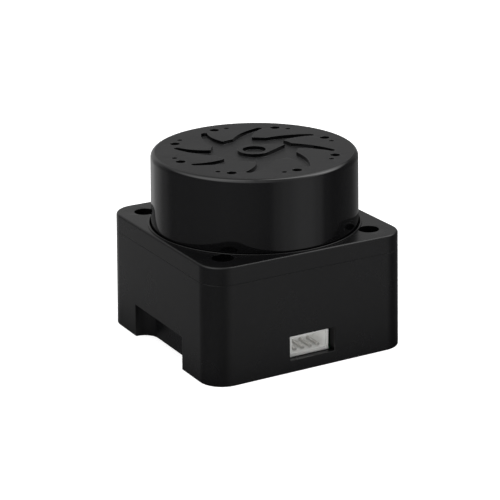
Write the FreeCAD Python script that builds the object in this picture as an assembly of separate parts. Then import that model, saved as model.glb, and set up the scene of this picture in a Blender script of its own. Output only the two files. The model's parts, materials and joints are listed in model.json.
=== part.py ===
"""Compact spinning lidar scanner: a square base that holds a motor, and a round head that turns on it.

Millimetres, +Z up. The origin is the centre of the base's foot, and the head turns about the Z axis.
The base's socket faces -Y and its foot notch faces -X. The head's optics look along +X at rest.
"""
import FreeCAD, Part
import math
import os

from FreeCAD import Rotation, Vector

# ---------------------------------------------------------------- driving dimensions
FOOT_WIDTH = 38.6          # outer width of the base at its foot
DRAFT = 0.014              # how far each wall leans in, per unit of height
CORNER_R = 4.3             # vertical corners of the base
BASE_H = 20.7              # top face of the base
SEAM_Z = 17.6              # parting line between lower housing and upper cover
TOTAL_H = 33.5             # top face of the head
BAY_HALF, BAY_R = 17.7, 1.9            # half the width of the hollow inside the housing, and its corners
POST_AT = 14.2             # corner posts, from the axis along X and along Y
POST_R, POST_TOP = 3.6, 15.2
SCREW_R = 0.85             # screws that hold the cover to the posts
COUNTERBORE_R, COUNTERBORE_Z = 1.8, 16.8
INSERT_R, INSERT_H = 2.1, 4.2          # threaded inserts in the underside, for the user's own screws
THREAD_R = 1.25

HEAD_TOP_R = 17.8          # head side wall, just under its top round
HEAD_FOOT_R = 18.0         # head side wall at its lower edge
HEAD_ROUND = 1.0           # round between the head's side and top
HEAD_BORE_R = 16.9         # inside of the head's skirt
HEAD_FOOT_Z = 19.75        # lower edge of the head, inside the well
HEAD_CEILING_Z = 31.8      # inside of the head's top wall
WELL_R = 18.2              # round well in the upper cover that the head sits in
WELL_Z = 19.3              # floor of the well
WELL_LIP_W, WELL_LIP_H = 0.35, 0.2     # thin raised lip round the well
OPENING_R = 5.2            # hole in the well's floor for the motor's boss
BASE_ROUND = 0.4           # round between the base's sides and top

RELIEF_DEPTH = 0.65        # turbine relief in the head's top
VANES = 8                  # channels between the vanes
RELIEF_DISC_R = 7.4        # round middle of the relief
HUB_R = 2.9                # raised drop in its middle
HUB_TIP = 6.4              # tip of the drop, along +X
HUB_HOLE_R = 1.97
DIMPLE_R, DIMPLE_DEPTH = 0.8, 0.8      # large dimples round the rim
DIMPLE_CIRCLE_R = 14.2
DOT_R, DOT_DEPTH = 0.42, 0.6           # small dots beside them
DOT_CIRCLE_R, DOT_LAG = 14.3, 9.6

WEB_Z0, WEB_Z1 = 6.8, 8.0  # floor between the board bay and the motor bay
BOARD_Z0, BOARD_Z1 = 1.2, 2.2
PLATE_Z0, PLATE_Z1 = 0.2, 1.0
PLATE_GAP = 0.1            # round the bottom cover
PILLARS = [(sx * 8.6, sy * 15.0) for sx in (-1, 1) for sy in (-1, 1)]
PILLAR_R = 1.6

NOTCH_W, NOTCH_H, NOTCH_D = 17.4, 5.9, 2.95
NOTCH_R = 2.8              # vertical inner corners of the notch
BACKING = 1.4              # wall behind the notch
WINDOW_W, WINDOW_Z0, WINDOW_Z1 = 8.8, 2.15, 6.4

SOCKET_W, SOCKET_H, SOCKET_L = 7.7, 3.9, 5.7
SOCKET_WALL, SOCKET_BACK = 0.5, 1.4
SOCKET_RECESS = 1.15       # socket face behind the housing face
PIN_PITCH, PIN_COUNT = 1.5, 4
PIN_HALF, PIN_HEIGHT = 0.25, 0.95      # half a pin's thickness; pin centre above the board

SHAFT_R, SHAFT_BORE_R = 1.5, 0.8
BEARING_R, BEARING_W = 3.0, 2.5
BALL_R, BALL_PITCH_R, BALLS = 0.45, 2.25, 7
LOWER_BEARING_Z, UPPER_BEARING_Z = 7.5, 13.0
TUBE_R = 4.0
SLOTS, POLES = 9, 12
CORE_R, CORE_Z0, CORE_Z1 = 9.7, 9.6, 13.2
MAGNET_R0, MAGNET_R1 = 10.2, 11.8
BELL_R = 12.4
BELL_WEB_Z0, BELL_WEB_Z1 = 16.0, 16.8
BOSS_R = 4.6

FRAME_Z0, FRAME_Z1 = 20.9, 21.9       # floor of the turntable
FLANGE_Z0, FLANGE_Z1 = 22.0, 22.8     # its outer flange
FLANGE_R = 16.7
TURN_BOARD_Z1 = 23.6                  # top of the board that spins
COIL_R0, COIL_R1 = 9.2, 13.2
RING_R0, RING_R1, RING_TOP_Z = 15.4, 16.0, 21.4   # toothed angle ring
RING_TEETH = 30
OPTIC_Z = 27.6                        # height of both optical axes
LENS_Y = 4.15                         # each optical axis, from the middle plane
BARREL_R = 3.75
LENS_R = 3.1
HUB_SCREWS_R, HUB_SCREWS = 3.1, 3     # screws that hold the turntable to the motor
SENSOR_ANGLE = 135.0                  # where the photo sensor straddles the angle ring
LEAD_ANGLE, LEAD_R = 50.0, 14.15      # where the lower coil's leads go down
BOARD_SCREWS = [(-2.8, 10.6), (-2.8, -10.6), (-10.6, 0.0)]
OPTIC_SCREWS = [(7.2, 9.7), (7.2, -9.7)]
SMALL, LARGE = (1.0, 0.5, 0.5), (1.6, 0.8, 0.8)   # sizes of chip resistors and capacitors

OUT = "parts"
PLUS_Z = Vector(0, 0, 1)
made = {}


# ---------------------------------------------------------------- helpers
def keep(name, *shapes):
    """Stores one node: a solid, or a group of separate solids."""
    solids = [s for shape in shapes for s in shape.Solids]
    made[name] = solids[0] if len(solids) == 1 else Part.makeCompound(solids)


def cylinder(radius, z0, z1, x=0.0, y=0.0):
    return Part.makeCylinder(radius, z1 - z0, Vector(x, y, z0))


def ring(outer, inner, z0, z1, x=0.0, y=0.0):
    return cylinder(outer, z0, z1, x, y).cut(cylinder(inner, z0 - 1, z1 + 1, x, y))


def block(x0, x1, y0, y1, z0, z1):
    return Part.makeBox(x1 - x0, y1 - y0, z1 - z0, Vector(x0, y0, z0))


def polar(radius, degrees):
    angle = math.radians(degrees)
    return radius * math.cos(angle), radius * math.sin(angle)


def turned(shape, degrees):
    """A copy of the shape, turned about the Z axis."""
    copy = shape.copy()
    copy.rotate(Vector(0, 0, 0), PLUS_Z, degrees)
    return copy


def along_x(shape, x, y, z):
    """A shape made round +Z at the origin, turned to point along +X and moved to a point."""
    copy = shape.copy()
    copy.rotate(Vector(0, 0, 0), Vector(0, 1, 0), 90)
    copy.translate(Vector(x, y, z))
    return copy


def pie(reach, half_angle, z0, z1):
    """A triangular prism with one corner on the Z axis, opening toward +X."""
    spread = reach * math.tan(math.radians(half_angle))
    outline = [Vector(0, 0, z0), Vector(reach, -spread, z0), Vector(reach, spread, z0)]
    return Part.Face(Part.makePolygon(outline + outline[:1])).extrude(Vector(0, 0, z1 - z0))


def fused(shapes):
    shapes = list(shapes)
    return shapes[0].multiFuse(shapes[1:]).removeSplitter()


def revolved(points):
    """A solid of revolution about Z from a closed outline of (radius, z) points."""
    outline = [Vector(r, 0, z) for r, z in points]
    return Part.Face(Part.makePolygon(outline + outline[:1])).revolve(Vector(0, 0, 0), PLUS_Z, 360)


def square_wire(half, radius, z):
    """Closed outline of a square with round corners."""
    flat, mid = half - radius, radius * math.sqrt(0.5)
    edges = []
    for quarter in range(4):
        spin = Rotation(PLUS_Z, 90 * quarter)
        start, end = Vector(half, -flat, z), Vector(half, flat, z)
        bend, far = Vector(flat + mid, flat + mid, z), Vector(flat, half, z)
        start, end, bend, far = (spin.multVec(p) for p in (start, end, bend, far))
        edges += [Part.LineSegment(start, end).toShape(), Part.Arc(end, bend, far).toShape()]
    return Part.Wire(edges)


def tapered_block(z0, z1, inset=0.0):
    """The base's outer shape between two heights, moved in by an inset, with its draft."""
    wires = []
    for z in (z0, z1):
        half = FOOT_WIDTH / 2 - DRAFT * z - inset
        points = [Vector(sx * half, sy * half, z) for sx, sy in ((1, 1), (-1, 1), (-1, -1), (1, -1))]
        wires.append(Part.makePolygon(points + points[:1]))
    body = Part.makeLoft(wires, True, True)
    slanted = [e for e in body.Edges if abs(e.Vertexes[0].Z - e.Vertexes[1].Z) > 1e-3]
    return body.makeFillet(CORNER_R - min(inset, 2.6), slanted)


def straight_block(z0, z1, half, radius):
    return Part.Face(square_wire(half, radius, z0)).extrude(Vector(0, 0, z1 - z0))


def corners(distance=POST_AT):
    return [(sx * distance, sy * distance) for sx in (-1, 1) for sy in (-1, 1)]


def edges_at(shape, z, test):
    return [e for e in shape.Edges
            if all(abs(v.Z - z) < 1e-4 for v in e.Vertexes) and abs(e.CenterOfMass.z - z) < 1e-4 and test(e)]


def screw(x, y, seat_z, head_r, head_h, shank_r, length, pitch, countersunk=False, up=False):
    """A cross-head screw with ridges for its thread; its head bears on seat_z, and it points down or up."""
    if countersunk:
        points = [(0, 0), (head_r, 0), (shank_r, -head_h)]
        z = -head_h
    else:
        points = [(0, head_h), (head_r * 0.72, head_h), (head_r, head_h * 0.55), (head_r, 0), (shank_r, 0)]
        z = 0.0
    root, tip = shank_r * 0.82, -length + 0.6
    while z - pitch > tip:
        points += [(shank_r, z - pitch * 0.15), (root, z - pitch * 0.5), (shank_r, z - pitch)]
        z -= pitch
    points += [(shank_r * 0.35, -length), (0, -length)]
    body = revolved(points)
    top, depth, arm = (0.0 if countersunk else head_h), head_h * 0.55, head_r * 0.62
    slot_w = head_r * 0.22
    cross = fused([block(-arm, arm, -slot_w / 2, slot_w / 2, top - depth, top + 1),
                   block(-slot_w / 2, slot_w / 2, -arm, arm, top - depth, top + 1)])
    body = body.cut(cross)
    if up:
        body.rotate(Vector(0, 0, 0), Vector(1, 0, 0), 180)
    body.translate(Vector(x, y, seat_z))
    return body


def chip(x, y, z, length, width, height, turn=0.0):
    """A flat package with chamfered top edges and a pin-one dimple."""
    body = block(-length / 2, length / 2, -width / 2, width / 2, 0, height)
    body = body.makeChamfer(height * 0.12, edges_at(body, height, lambda e: True))
    dimple_r = min(length, width) * 0.06
    body = body.cut(cylinder(dimple_r, height - 0.08, height + 1, -length * 0.34, -width * 0.34))
    body.rotate(Vector(0, 0, 0), PLUS_Z, turn)
    body.translate(Vector(x, y, z))
    return body


def wire_path(points, radius, bend):
    """A round wire through a few points, with an arc of the same bend at each inner point."""
    ends = [Vector(*p) for p in points]
    edges, start = [], ends[0]
    for before, here, after in zip(ends, ends[1:], ends[2:]):
        into, out = (here - before).normalize(), (after - here).normalize()
        back = bend * math.tan(math.radians(into.getAngle(out) * 180 / math.pi) / 2)
        a, b = here - into * back, here + out * back
        middle = here + (out - into).normalize() * (math.hypot(bend, back) - bend)
        edges += [Part.LineSegment(start, a).toShape(), Part.Arc(a, middle, b).toShape()]
        start = b
    edges.append(Part.LineSegment(start, ends[-1]).toShape())
    section = Part.Wire(Part.makeCircle(radius, ends[0], ends[1] - ends[0]))
    return Part.Wire(edges).makePipeShell([section], True, True)


# ---------------------------------------------------------------- base shells
MOTOR_LEADS = [polar(7.6, 90 + step) for step in (-14, 0, 14)]


def notch_tool(grow=0.0, height=NOTCH_H):
    """The foot notch, or the block that backs it when it is grown."""
    half, face = NOTCH_W / 2 + grow, -FOOT_WIDTH / 2
    depth, radius = NOTCH_D + grow, NOTCH_R + grow
    tool = block(face - 3, face + depth, -half, half, -1, height)
    inner = [e for e in tool.Edges
             if abs(e.CenterOfMass.x - face - depth) < 1e-6 and e.Vertexes[0].Z != e.Vertexes[1].Z]
    return tool.makeFillet(radius, inner)


def bay(z0, z1, gap=0.0, beside_notch=False):
    """The hollow inside the housing, or a plate that fits it with a gap: a square less its corner posts."""
    tools = [cylinder(POST_R + gap, z0 - 1, z1 + 1, x, y) for x, y in corners()]
    for x, y in corners():
        far_x, far_y = math.copysign(FOOT_WIDTH, x), math.copysign(FOOT_WIDTH, y)
        tools.append(block(min(x, far_x), max(x, far_x), min(y, far_y), max(y, far_y), z0 - 1, z1 + 1))
    if beside_notch:
        tools.append(notch_tool(BACKING + gap, WEB_Z1))
    return straight_block(z0, z1, BAY_HALF - gap, BAY_R).cut(tools[0].multiFuse(tools[1:]))


def lower_housing():
    body = tapered_block(0, SEAM_Z)
    body = body.makeChamfer(0.2, edges_at(body, 0, lambda e: True))
    pillars = [cylinder(PILLAR_R, BOARD_Z1, WEB_Z0, x, y) for x, y in PILLARS]
    hollow = bay(-1, WEB_Z0, 0, True).cut(pillars[0].multiFuse(pillars[1:]))
    rebate = straight_block(POST_TOP, SEAM_Z + 1, BAY_HALF, BAY_R)
    # thread holes from above, insert bores and screw holes from below, then the ways through the middle floor
    tools = [hollow, bay(WEB_Z1, POST_TOP), rebate]
    tools += [cylinder(SCREW_R, 9.0, 16, x, y) for x, y in corners()]
    tools += [cylinder(INSERT_R, -1, INSERT_H + 0.2, x, y) for x, y in corners()]
    tools += [cylinder(0.8, 1, 5.6, x, y) for x, y in PILLARS]
    tools += [notch_tool()]
    tools += [block(-WINDOW_W / 2, WINDOW_W / 2, -FOOT_WIDTH / 2 - 1, -15.5, WINDOW_Z0, WINDOW_Z1)]
    tools += [cylinder(TUBE_R, WEB_Z0 - 1, WEB_Z1 + 1)]
    tools += [cylinder(0.45, WEB_Z0 - 1, WEB_Z1 + 1, x, y) for x, y in MOTOR_LEADS]
    tools += [turned(block(LEAD_R - 0.5, LEAD_R + 0.5, -1.0, 1.0, WEB_Z0 - 1, WEB_Z1 + 1), LEAD_ANGLE)]
    for tool in tools:
        body = body.cut(tool)
    keep("lower_housing", body)


def upper_cover():
    body = tapered_block(SEAM_Z, BASE_H)
    body = body.makeFillet(BASE_ROUND, edges_at(body, BASE_H, lambda e: True))
    skirt = straight_block(SEAM_Z - 1.2, SEAM_Z, BAY_HALF - 0.1, BAY_R)
    skirt = skirt.cut(straight_block(SEAM_Z - 2, SEAM_Z + 1, BAY_HALF - 1.1, BAY_R - 0.5))
    bosses = [cylinder(3.1, POST_TOP, SEAM_Z + 0.5, x, y) for x, y in corners()]
    body = body.multiFuse([skirt] + bosses)
    # the well, the way through its floor, the coil's groove, the angle ring's groove and the screw holes
    tools = [cylinder(WELL_R, WELL_Z, BASE_H + 1), cylinder(OPENING_R, SEAM_Z - 1, WELL_Z + 1)]
    tools += [ring(COIL_R1 + 0.3, COIL_R0 - 0.3, 18.3, WELL_Z + 1)]
    tools += [ring(16.7, 14.75, 18.9, WELL_Z + 1)]
    tools += [cylinder(COUNTERBORE_R, COUNTERBORE_Z, BASE_H + 1, x, y) for x, y in corners()]
    tools += [cylinder(SCREW_R + 0.1, 14, 18, x, y) for x, y in corners()]
    tools += [turned(block(13.3, 14.6, -0.95, 0.95, 16, WELL_Z + 1), LEAD_ANGLE)]
    body = body.cut(tools[0].multiFuse(tools[1:]))
    lip = ring(WELL_R + WELL_LIP_W, WELL_R, BASE_H - 0.1, BASE_H + WELL_LIP_H)
    lip = lip.makeFillet(0.1, edges_at(lip, BASE_H + WELL_LIP_H, lambda e: True))
    keep("upper_cover", body.fuse(lip).removeSplitter())


def bottom_plate():
    plate = bay(PLATE_Z0, PLATE_Z1, PLATE_GAP, True)
    plate = plate.multiFuse([cylinder(PILLAR_R, PLATE_Z1, BOARD_Z0, x, y) for x, y in PILLARS])
    sinks = []
    for x, y in PILLARS:
        sink = revolved([(0, -0.5), (1.5, -0.5), (1.5, PLATE_Z0), (0.85, 0.9), (0.85, 2), (0, 2)])
        sink.translate(Vector(x, y, 0))
        sinks.append(sink)
    panel = straight_block(-1, PLATE_Z0 + 0.15, 8.0, 1.5)
    grooves = [block(side * x - 0.3, side * x + 0.3, -5, 5, -1, PLATE_Z0 + 0.3)
               for side in (-1, 1) for x in (10.5, 11.9, 13.3)]
    keep("bottom_cover", plate.cut(sinks[0].multiFuse(sinks[1:] + [panel] + grooves)).removeSplitter())


def base_fasteners():
    keep("assembly_screws", *[screw(x, y, COUNTERBORE_Z, 1.7, 1.2, SCREW_R, 7.4, 0.4) for x, y in corners()])
    keep("bottom_screws",
         *[screw(x, y, PLATE_Z0, 1.45, 0.65, 0.8, 5.0, 0.35, True, True) for x, y in PILLARS])
    groove = INSERT_R - 0.2
    outline = [(THREAD_R, 0), (groove, 0), (groove, 0.4), (INSERT_R, 0.5), (INSERT_R, 1.7), (groove, 1.85),
               (groove, 2.35), (INSERT_R, 2.5), (INSERT_R, 3.7), (groove, 3.8), (groove, INSERT_H),
               (THREAD_R, INSERT_H)]
    inserts = []
    for x, y in corners():
        insert = revolved(outline)
        insert.translate(Vector(x, y, 0))
        inserts.append(insert)
    keep("mount_inserts", *inserts)


# ---------------------------------------------------------------- board bay
def main_board():
    board = bay(BOARD_Z0, BOARD_Z1, 0.3, True)
    holes = [cylinder(0.9, -1, 4, x, y) for x, y in PILLARS]
    keep("main_board", board.cut(holes[0].multiFuse(holes[1:])))
    top = BOARD_Z1
    keep("controller_chip", chip(7.0, 5.5, top, 6.0, 6.0, 0.9))
    keep("motor_driver_chip", chip(-6.5, 6.5, top, 4.0, 4.0, 0.9))
    coil = fused([block(-1.6, 1.6, -1.6, 1.6, 0, 1.9), cylinder(1.9, 0.35, 1.55)])
    coil.translate(Vector(9.5, -6.5, top))
    keep("power_inductor", coil)
    crystal = fused([block(-1.6, 1.6, -1.25, 1.25, 0, 0.3), block(-1.45, 1.45, -1.1, 1.1, 0.3, 0.8)])
    crystal.translate(Vector(12.8, 6.6, top))
    keep("clock_crystal", crystal)
    dome = Part.makeSphere(1.1, Vector(0, 0, top + 1.7)).common(cylinder(1.1, top + 1.7, top + 4))
    keep("optical_receiver", fused([block(-1.6, 1.6, -1.6, 1.6, top, top + 0.9),
                                    cylinder(1.1, top + 0.9, top + 1.7), dome]))
    rows = [(LARGE, -12.4 + 2.6 * i, -7.2, 90) for i in range(5)]
    rows += [(SMALL, 1.6 + 1.3 * i, 10.4, 90) for i in range(5)]
    rows += [(SMALL, -9.6 + 1.3 * i, 10.4, 90) for i in range(5)]
    rows += [(LARGE, 13.6, -9.2 + 2.2 * i, 0) for i in range(5)]
    rows += [(SMALL, -10.8, 0.4 + 1.4 * i, 0) for i in range(5)]
    keep("board_passives", *[passive(size, x, y, top, turn) for size, x, y, turn in rows])


def passive(size, x, y, z, turn):
    """A chip capacitor or resistor with its two end caps standing slightly proud."""
    length, width, height = size
    cap, proud = length * 0.22, height * 0.06
    body = block(-length / 2 + cap, length / 2 - cap,
                 -width / 2 + proud, width / 2 - proud, 0, height - proud)
    ends = [block(-length / 2, -length / 2 + cap, -width / 2, width / 2, 0, height),
            block(length / 2 - cap, length / 2, -width / 2, width / 2, 0, height)]
    body = fused([body] + ends)
    body.rotate(Vector(0, 0, 0), PLUS_Z, turn)
    body.translate(Vector(x, y, z))
    return body


def socket():
    """Shrouded four-way side-entry header: a pale shell and four bent square pins low in its cavity."""
    face = -(FOOT_WIDTH / 2 - DRAFT * 4) + SOCKET_RECESS
    back, z0, z1 = face + SOCKET_L, BOARD_Z1, BOARD_Z1 + SOCKET_H
    shell = block(-SOCKET_W / 2, SOCKET_W / 2, face, back, z0, z1)
    shell = shell.makeChamfer(0.12, [e for e in shell.Edges if abs(e.CenterOfMass.y - face) < 1e-6])
    cavity = block(-SOCKET_W / 2 + SOCKET_WALL, SOCKET_W / 2 - SOCKET_WALL, face - 1, back - SOCKET_BACK,
                   z0 + SOCKET_WALL, z1 - SOCKET_WALL)
    pins, holes, first = [], [], -PIN_PITCH * (PIN_COUNT - 1) / 2
    low, high = z0 + PIN_HEIGHT - PIN_HALF, z0 + PIN_HEIGHT + PIN_HALF
    tip, bend = face + 0.7, back + 0.4
    for i in range(PIN_COUNT):
        x0, x1 = first + PIN_PITCH * i - PIN_HALF, first + PIN_PITCH * i + PIN_HALF
        blade = block(x0, x1, tip, bend + 2 * PIN_HALF, low, high)
        blade = blade.makeChamfer(0.12, [e for e in blade.Edges if abs(e.CenterOfMass.y - tip) < 1e-6])
        drop = block(x0, x1, bend, bend + 2 * PIN_HALF, z0, high)
        foot = block(x0, x1, bend, bend + 1.6, z0, z0 + 0.3)
        pins.append(fused([blade, drop, foot]))
        holes.append(block(x0, x1, face, back + 1, low, high))
    keep("socket_shell", shell.cut(cavity.multiFuse(holes)))
    keep("socket_pins", *pins)


# ---------------------------------------------------------------- motor
def bearing_tube():
    keep("bearing_tube", revolved([
        (TUBE_R, 5.6), (TUBE_R, WEB_Z1), (6.6, WEB_Z1), (6.6, WEB_Z1 + 0.6), (TUBE_R, WEB_Z1 + 0.6),
        (TUBE_R, 15.6), (BEARING_R, 15.6), (BEARING_R, UPPER_BEARING_Z), (2.5, UPPER_BEARING_Z),
        (2.5, LOWER_BEARING_Z + BEARING_W), (BEARING_R, LOWER_BEARING_Z + BEARING_W), (BEARING_R, 5.6)]))
    flats = [Vector(*polar(6.0, 60 * i), 5.6) for i in range(7)]
    nut = Part.Face(Part.makePolygon(flats)).extrude(Vector(0, 0, WEB_Z0 - 5.6))
    keep("tube_nut", nut.cut(cylinder(TUBE_R, 5, 7)))


def bearings():
    outer, inner, balls, cages = [], [], [], []
    for z0 in (LOWER_BEARING_Z, UPPER_BEARING_Z):
        middle = z0 + BEARING_W / 2
        groove = Part.makeTorus(BALL_PITCH_R, BALL_R + 0.04, Vector(0, 0, middle))
        outer.append(ring(BEARING_R, BALL_PITCH_R + 0.31, z0, z0 + BEARING_W).cut(groove))
        inner.append(ring(BALL_PITCH_R - 0.31, SHAFT_R, z0, z0 + BEARING_W).cut(groove))
        places = [Vector(*polar(BALL_PITCH_R, 360 / BALLS * i), middle) for i in range(BALLS)]
        balls += [Part.makeSphere(BALL_R, place) for place in places]
        cage = ring(BALL_PITCH_R + 0.2, BALL_PITCH_R - 0.2, middle - 0.8, middle + 0.2)
        pockets = [Part.makeSphere(BALL_R + 0.05, place) for place in places]
        cages.append(cage.cut(pockets[0].multiFuse(pockets[1:])))
    keep("bearing_outer_rings", *outer)
    keep("bearing_inner_rings", *inner)
    keep("bearing_balls", *balls)
    keep("bearing_cages", *cages)


def stator():
    pitch = 360 / SLOTS

    def lamination(z0, z1, grow=0.0):
        parts = [ring(5.6 + grow, TUBE_R, z0, z1)]
        shoe = ring(CORE_R - grow, CORE_R - 0.9 - grow, z0, z1)
        shoe = shoe.common(pie(12, pitch * 0.42, z0, z1))
        tooth = fused([block(5.2, CORE_R - 0.5 - grow, -0.75, 0.75, z0, z1), shoe])
        return fused(parts + [turned(tooth, pitch * i) for i in range(SLOTS)])

    keep("stator_core", lamination(CORE_Z0, CORE_Z1))
    keep("stator_insulators", lamination(CORE_Z0 - 0.4, CORE_Z0, 0.05),
         lamination(CORE_Z1, CORE_Z1 + 0.4, 0.05))

    def turn_of_wire(x0, x1, half, z0, z1):
        outer = block(x0, x1, -half, half, z0, z1)
        along_x = [e for e in outer.Edges if abs(e.Vertexes[0].X - e.Vertexes[1].X) > 0.01]
        outer = outer.makeFillet(0.5, along_x)
        return outer.cut(block(x0 - 1, x1 + 1, -0.78, 0.78, CORE_Z0 - 0.4, CORE_Z1 + 0.4))

    layers, x = [], 5.95
    while x < 8.3:
        layers.append(turn_of_wire(x, x + 0.3, 1.45, CORE_Z0 - 0.8, CORE_Z1 + 0.8))
        layers.append(turn_of_wire(x + 0.3, x + 0.42, 1.36, CORE_Z0 - 0.71, CORE_Z1 + 0.71))
        x += 0.42
    winding = fused(layers)
    keep("stator_windings", *[turned(winding, pitch * i) for i in range(SLOTS)])
    keep("motor_leads", *[cylinder(0.25, BOARD_Z1, CORE_Z0 - 0.8, x, y) for x, y in MOTOR_LEADS])


def hub_places():
    step = 360 / HUB_SCREWS
    return [polar(HUB_SCREWS_R, step * (i + 0.5)) for i in range(HUB_SCREWS)]


def rotor():
    bell = revolved([
        (SHAFT_R, 15.5), (1.9, 15.5), (1.9, BELL_WEB_Z0), (MAGNET_R1, BELL_WEB_Z0), (MAGNET_R1, 9.0),
        (BELL_R, 9.0), (BELL_R, BELL_WEB_Z1 - 0.4), (BELL_R - 0.4, BELL_WEB_Z1), (BOSS_R, BELL_WEB_Z1),
        (BOSS_R, FRAME_Z0), (SHAFT_R, FRAME_Z0)])
    holes = [cylinder(1.6, 15, 18, *polar(8.2, 60 * i + 30)) for i in range(6)]
    holes += [cylinder(0.8, 17.5, 21, x, y) for x, y in hub_places()]
    keep("motor_bell", bell.cut(holes[0].multiFuse(holes[1:])))
    step = 360 / POLES
    magnet = ring(MAGNET_R1, MAGNET_R0, 9.6, 14.0).common(pie(14, step / 2 - 1, 9.6, 14.0))
    keep("rotor_magnets", *[turned(magnet, step * i) for i in range(POLES)])
    keep("shaft", revolved([
        (SHAFT_BORE_R, 6.4), (SHAFT_R - 0.15, 6.4), (SHAFT_R, 6.55), (SHAFT_R, 6.8), (1.2, 6.8), (1.2, 7.2),
        (SHAFT_R, 7.2), (SHAFT_R, FRAME_Z1), (SHAFT_BORE_R, FRAME_Z1)]))
    clip = ring(2.35, 1.2, 6.8, 7.2)
    eyes = [cylinder(0.35, 6, 8, *polar(1.95, a)) for a in (60, 180, 300)]
    keep("retaining_clip", clip.cut(eyes[0].multiFuse(eyes[1:] + [block(0, 3, -0.8, 0.8, 6, 8)])))
    keep("spring_washer", revolved([(SHAFT_R + 0.05, 7.2), (2.1, 7.2), (2.1, 7.35), (1.85, LOWER_BEARING_Z),
                                    (SHAFT_R + 0.05, LOWER_BEARING_Z)]))
    keep("hub_screws", *[screw(x, y, FRAME_Z1, 1.3, 0.8, 0.8, 3.6, 0.35) for x, y in hub_places()])


# ---------------------------------------------------------------- wireless power and angle sensing
def scalloped_coil(z0, z1, ridges_up, turns=9):
    """A flat pancake winding whose turns show as round ridges on one side."""
    width = (COIL_R1 - COIL_R0) / turns
    flat, crown = (z0, z1) if ridges_up else (z1, z0)
    sign = 1 if ridges_up else -1
    shoulder = crown - sign * width * 0.32
    edges = [Part.LineSegment(Vector(COIL_R0, 0, shoulder), Vector(COIL_R0, 0, flat)).toShape(),
             Part.LineSegment(Vector(COIL_R0, 0, flat), Vector(COIL_R1, 0, flat)).toShape(),
             Part.LineSegment(Vector(COIL_R1, 0, flat), Vector(COIL_R1, 0, shoulder)).toShape()]
    for i in reversed(range(turns)):
        r0 = COIL_R0 + width * i
        edges.append(Part.Arc(Vector(r0 + width, 0, shoulder), Vector(r0 + width / 2, 0, crown),
                              Vector(r0, 0, shoulder)).toShape())
    return Part.Face(Part.Wire(Part.__sortEdges__(edges))).revolve(Vector(0, 0, 0), PLUS_Z, 360)


def power_link():
    keep("base_ferrite", ring(COIL_R1 + 0.2, COIL_R0 - 0.2, 18.3, 18.7))
    keep("base_coil", scalloped_coil(18.7, WELL_Z, True))
    keep("head_coil", scalloped_coil(19.8, 20.4, False))
    keep("head_ferrite", ring(COIL_R1 + 0.2, COIL_R0 - 0.2, 20.4, FRAME_Z0))
    leads = []
    for side in (-0.45, 0.45):
        path = [(COIL_R1 + 0.02, side, 19.0), (LEAD_R, side, 19.0), (LEAD_R, side, BOARD_Z1)]
        leads.append(turned(wire_path(path, 0.18, 0.5), LEAD_ANGLE))
    keep("coil_leads", *leads)


def angle_ring():
    body = fused([ring(16.6, 14.85, 18.9, WELL_Z), ring(RING_R1, RING_R0, WELL_Z, RING_TOP_Z)])
    gap = 360 / RING_TEETH / 2
    half = RING_R1 * math.tan(math.radians(gap / 2))
    slot = block(RING_R0 - 0.5, RING_R1 + 0.5, -half, half, 20.2, RING_TOP_Z + 1)
    slots = [turned(slot, 360 / RING_TEETH * i + gap / 2) for i in range(1, RING_TEETH)]
    keep("angle_ring", body.cut(slots[0].multiFuse(slots[1:])))


# ---------------------------------------------------------------- head
def channel_outline():
    """One curved channel between two vanes, tapering outward from the relief's round middle."""
    inner_left, mid_left, tip_left = Vector(-5.2, 4.5, 0), Vector(-4.8, 9.3, 0), Vector(-3.2, 13.15, 0)
    tip, tip_right = Vector(-2.6, 13.5, 0), Vector(-2.1, 13.1, 0)
    mid_right, inner_right = Vector(-2.75, 10.0, 0), Vector(-2.05, 6.3, 0)
    return Part.Wire([Part.Arc(inner_left, mid_left, tip_left).toShape(),
                      Part.Arc(tip_left, tip, tip_right).toShape(),
                      Part.Arc(tip_right, mid_right, inner_right).toShape(),
                      Part.LineSegment(inner_right, inner_left).toShape()])


def drop_solid(radius, tip, z0, z1):
    """A disc drawn out to a point along +X."""
    angle = math.degrees(math.acos(radius / tip))
    above, below = polar(radius, angle), polar(radius, -angle)
    point = Part.Face(Part.makePolygon([Vector(0, 0, z0), Vector(*below, z0), Vector(tip, 0, z0),
                                        Vector(*above, z0), Vector(0, 0, z0)])).extrude(Vector(0, 0, z1 - z0))
    drop = fused([cylinder(radius, z0, z1), point])
    sharp = [e for e in drop.Edges if abs(e.CenterOfMass.x - tip) < 1e-4]
    return drop.makeFillet(0.3, sharp)


def relief_tool():
    """Everything that is sunk into the head's top face."""
    z0, z1 = TOTAL_H - RELIEF_DEPTH, TOTAL_H + 1
    channel = Part.Face(channel_outline()).extrude(Vector(0, 0, z1 - z0))
    channel.translate(Vector(0, 0, z0))
    channels = [turned(channel, 360 / VANES * i) for i in range(VANES)]
    pocket = fused([cylinder(RELIEF_DISC_R, z0, z1)] + channels)
    corners_in = [e for e in pocket.Edges
                  if len(e.Vertexes) == 2 and abs(e.Vertexes[0].Z - e.Vertexes[1].Z) > 0.1
                  and abs(math.hypot(e.CenterOfMass.x, e.CenterOfMass.y) - RELIEF_DISC_R) < 0.2]
    pocket = pocket.makeFillet(0.3, corners_in)
    pocket = pocket.cut(drop_solid(HUB_R, HUB_TIP, z0 - 1, z1 + 1))
    tools = [pocket, cylinder(HUB_HOLE_R, z0, z1)]
    for i in range(VANES):
        angle = 360 / VANES * i
        tools.append(cylinder(DIMPLE_R, TOTAL_H - DIMPLE_DEPTH, z1, *polar(DIMPLE_CIRCLE_R, angle)))
        tools.append(cylinder(DOT_R, TOTAL_H - DOT_DEPTH, z1, *polar(DOT_CIRCLE_R, angle - DOT_LAG)))
    return tools


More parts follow.
